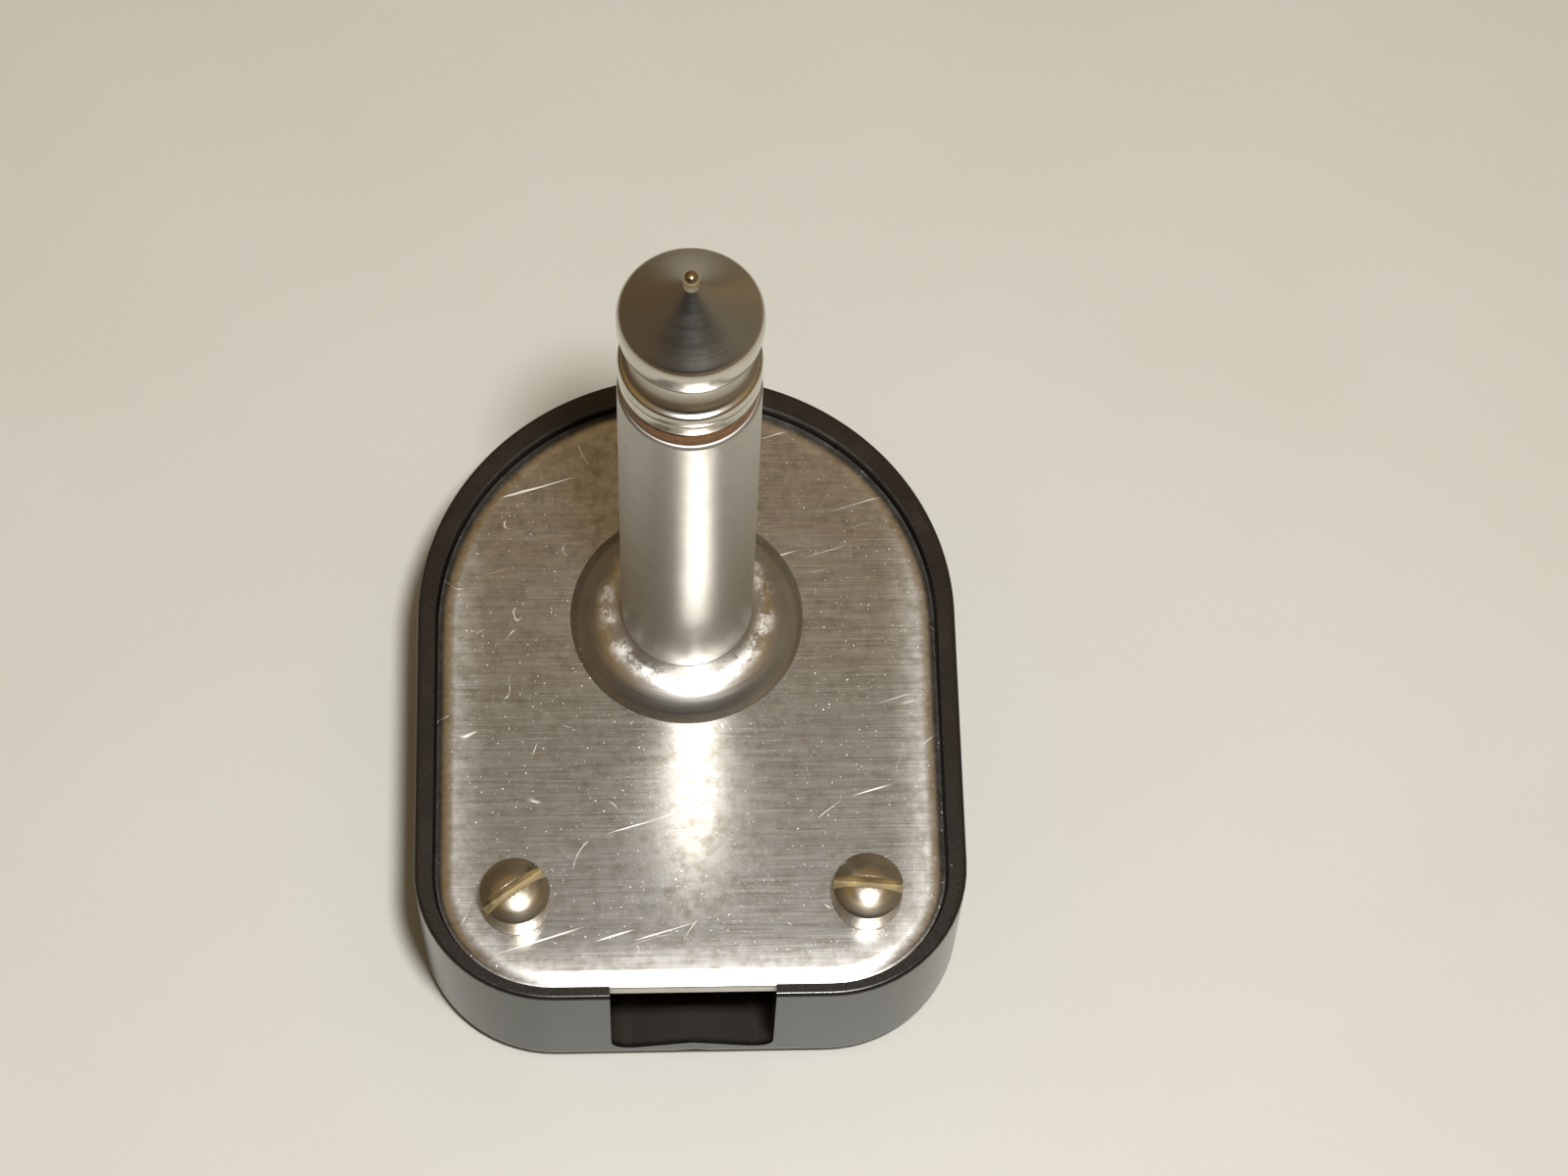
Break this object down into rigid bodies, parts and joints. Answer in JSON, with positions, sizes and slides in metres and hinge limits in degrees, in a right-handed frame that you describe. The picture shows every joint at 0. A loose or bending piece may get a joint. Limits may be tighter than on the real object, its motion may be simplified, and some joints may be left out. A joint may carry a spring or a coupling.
{
  "type": "right-angle phone plug",
  "caption": "Flat right-angle phone plug: a black moulded cup under a nickel cover plate with an upright tip-and-sleeve finger, screwed down, with a cable notch in its front wall.",
  "frame": {"origin": "middle of the body's box, on the surface that the flat underside rests on", "axes": "+Z along the finger towards its tip, +Y towards the round end, -Y towards the cable notch"},
  "size_m": [0.0262, 0.0328, 0.0421],
  "materials": {
    "black_moulding": "glossy black phenolic moulding with slightly worn edges",
    "nickel_plate": "nickel-plated sheet, satin, scratched and speckled with tarnish",
    "bright_nickel": "polished nickel plating over turned brass",
    "brown_fibre": "brown phenolic fibre insulation",
    "insert_brass": "plain turned brass",
    "tinned_brass": "dull tinned brass",
    "worn_screw": "nickel-plated brass, worn through to the brass on the edges"
  },
  "bodies": {
    "housing": {"housing": "black_moulding", "insert_left": "insert_brass", "insert_right": "insert_brass"},
    "cover": {"cover_plate": "nickel_plate", "finger_collar": "bright_nickel", "sleeve": "bright_nickel", "tip_rod": "bright_nickel", "tip_insulator": "brown_fibre", "rod_tube": "brown_fibre", "rear_bush": "brown_fibre", "tip_terminal": "tinned_brass", "rivet_washer": "insert_brass", "ground_terminal": "tinned_brass"},
    "screw_left": {"screw_left": "worn_screw"},
    "screw_right": {"screw_right": "worn_screw"}
  },
  "joints": [
    {"name": "plate_lift", "type": "slide", "parent": "housing", "child": "cover", "axis": [0, 0, 1], "range_m": [0, 0.0036]},
    {"name": "screw_left_turn", "type": "hinge", "parent": "cover", "child": "screw_left", "pos_m": [-0.0083, -0.0114, 0.0082], "axis": [0, 0, 1], "range_deg": [0, 2860]},
    {"name": "screw_right_turn", "type": "hinge", "parent": "cover", "child": "screw_right", "pos_m": [0.0083, -0.0114, 0.0082], "axis": [0, 0, 1], "range_deg": [0, 2860]}
  ],
  "couplings": [
    {"joint": "screw_left_turn", "follows": "plate_lift", "rad_per_m": 13853},
    {"joint": "screw_right_turn", "follows": "plate_lift", "rad_per_m": 13853}
  ]
}
